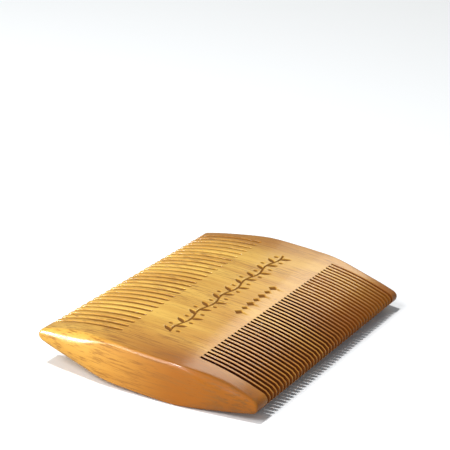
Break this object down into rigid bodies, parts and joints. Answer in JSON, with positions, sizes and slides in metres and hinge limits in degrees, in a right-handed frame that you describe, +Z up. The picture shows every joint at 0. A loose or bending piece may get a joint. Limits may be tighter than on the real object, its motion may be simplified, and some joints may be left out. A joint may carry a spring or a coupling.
{
  "type": "beard comb",
  "caption": "Double-sided wooden beard comb: lens-shaped plank with coarse teeth along one edge, fine teeth along the other, solid bowed ends and a plain ornament on the spine.",
  "frame": {"origin": "under the middle of the comb, on the flat land that it rests on", "axes": "+X along the comb's length, towards the end with the narrower guard; +Y towards the coarse teeth; +Z up through the thickness"},
  "size_m": [0.1, 0.065, 0.0116],
  "materials": {
    "wood": "oiled and waxed to a satin gloss, grain along the teeth"
  },
  "bodies": {
    "root": {"spine": "wood", "near_end_guard": "wood", "far_end_guard": "wood", "coarse_teeth": "wood", "fine_teeth": "wood"}
  },
  "joints": []
}
